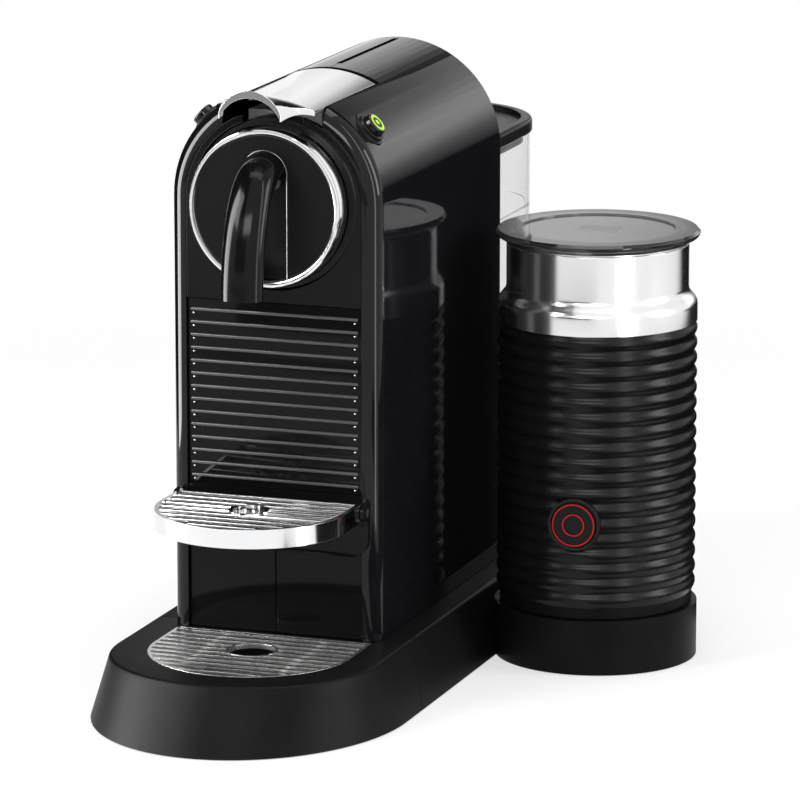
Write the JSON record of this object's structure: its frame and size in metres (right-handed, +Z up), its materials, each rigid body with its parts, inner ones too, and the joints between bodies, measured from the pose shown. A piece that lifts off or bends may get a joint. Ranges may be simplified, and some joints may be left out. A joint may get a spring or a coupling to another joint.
{
  "type": "pod coffee machine",
  "caption": "Narrow arched pod coffee machine with lever, fold-up cup support, pull-out drip unit, rear water tank and a docked ribbed milk frother.",
  "frame": {"origin": "on the floor, under the middle of the whole object's bounding box", "axes": "+X to the frother's side, -Y out of the front with the spout, +Z up"},
  "size_m": [0.2317, 0.372, 0.2818],
  "materials": {
    "gloss_black": "high gloss",
    "satin_black": "satin",
    "dark_grey": "satin",
    "chrome": "polished",
    "jacket_rubber": "matt, ribbed",
    "clear_tank": "clear tinted plastic",
    "smoky_lid": "smoky, see-through",
    "steel": "brushed",
    "white_plastic": "fine grain",
    "cage_plastic": "satin",
    "cast_metal": "as cast",
    "pump_metal": "satin",
    "soft_rubber": "matt",
    "tube_silicone": "satin",
    "board_green": "satin",
    "motor_steel": "satin",
    "whisk_steel": "satin",
    "button_red": "gloss with red rings"
  },
  "bodies": {
    "machine": {"base_shell": "satin_black", "base_plate": "satin_black", "rubber_feet": "soft_rubber", "base_screws": "steel", "power_gland": "soft_rubber", "housing_left": "gloss_black", "housing_right": "gloss_black", "rear_cover": "satin_black", "front_panel": "gloss_black", "head_drum": "satin_black", "chrome_ring": "chrome", "head_face": "dark_grey", "coffee_spout": "gloss_black", "outlet_nozzle": "cage_plastic", "lever_axle": "steel", "button_sockets": "satin_black", "brew_frame": "white_plastic", "brew_plate": "cast_metal", "capsule_chute": "white_plastic", "tank_seat": "cage_plastic", "water_pump": "pump_metal", "pump_mounts": "soft_rubber", "heater_block": "cast_metal", "control_board": "board_green", "flow_meter": "cage_plastic", "feed_tube": "tube_silicone", "pump_tube": "tube_silicone", "heater_tube": "tube_silicone", "brew_tube": "tube_silicone", "dock_connector": "white_plastic"},
    "lever": {"lever_plate": "chrome", "lever_arms": "white_plastic"},
    "cage": {"capsule_cage": "cage_plastic"},
    "espresso_button": {"espresso_button": "gloss_black"},
    "lungo_button": {"lungo_button": "gloss_black"},
    "drip_unit": {"drip_base": "satin_black", "drip_tray": "satin_black", "splash_wall": "gloss_black", "ribbed_panel": "satin_black", "capsule_container": "satin_black", "support_carrier": "gloss_black", "support_pins": "steel"},
    "lower_grid": {"drip_grid": "chrome"},
    "cup_support": {"support_band": "chrome", "support_tray": "steel", "support_grid": "chrome"},
    "tank": {"water_tank": "clear_tank", "tank_valve": "white_plastic"},
    "tank_cover": {"tank_lid": "dark_grey"},
    "frother": {"frother_base": "satin_black", "frother_jacket": "jacket_rubber", "frother_collar": "chrome", "frother_jug": "steel", "frother_motor": "motor_steel", "frother_bezel": "satin_black"},
    "frother_cover": {"frother_lid": "smoky_lid", "frother_lid_seal": "soft_rubber", "whisk_holder": "white_plastic"},
    "whisk": {"whisk": "whisk_steel"},
    "frother_button": {"frother_button": "button_red"}
  },
  "joints": [
    {"name": "lever_hinge", "type": "hinge", "parent": "machine", "child": "lever", "pos_m": [-0.044, -0.022, 0.258], "axis": [-1, 0, 0], "range_deg": [0, 70]},
    {"name": "cage_slide", "type": "slide", "parent": "machine", "child": "cage", "axis": [0, 1, 0], "range_m": [0, 0.02]},
    {"name": "espresso_press", "type": "slide", "parent": "machine", "child": "espresso_button", "axis": [0.766, 0, -0.6428], "range_m": [0, 0.0016], "stiffness_N_per_m": 600, "springref_m": -0.001},
    {"name": "lungo_press", "type": "slide", "parent": "machine", "child": "lungo_button", "axis": [-0.766, 0, -0.6428], "range_m": [0, 0.0016], "stiffness_N_per_m": 600, "springref_m": -0.001},
    {"name": "drip_slide", "type": "slide", "parent": "machine", "child": "drip_unit", "axis": [0, -1, 0], "range_m": [0, 0.11]},
    {"name": "lower_grid_lift", "type": "slide", "parent": "drip_unit", "child": "lower_grid", "axis": [0, 0, 1], "range_m": [0, 0.03]},
    {"name": "support_fold", "type": "hinge", "parent": "drip_unit", "child": "cup_support", "pos_m": [-0.044, -0.0784, 0.0897], "axis": [-1, 0, 0], "range_deg": [0, 88]},
    {"name": "tank_lift", "type": "slide", "parent": "machine", "child": "tank", "axis": [0, 0, 1], "range_m": [0, 0.06]},
    {"name": "tank_lid_lift", "type": "slide", "parent": "tank", "child": "tank_cover", "axis": [0, 0, 1], "range_m": [0, 0.03]},
    {"name": "frother_lift", "type": "slide", "parent": "machine", "child": "frother", "axis": [0, 0, 1], "range_m": [0, 0.06]},
    {"name": "frother_lid_lift", "type": "slide", "parent": "frother", "child": "frother_cover", "axis": [0, 0, 1], "range_m": [0, 0.03]},
    {"name": "whisk_spin", "type": "hinge", "parent": "frother", "child": "whisk", "pos_m": [0.0687, 0.0504, 0.064], "axis": [0, 0, 1], "continuous": true},
    {"name": "frother_press", "type": "slide", "parent": "frother", "child": "frother_button", "axis": [-0.0872, 0.9962, 0], "range_m": [0, 0.001], "stiffness_N_per_m": 800, "springref_m": -0.001}
  ],
  "couplings": [
    {"joint": "cage_slide", "follows": "lever_hinge", "m_per_rad": 0.0163}
  ]
}
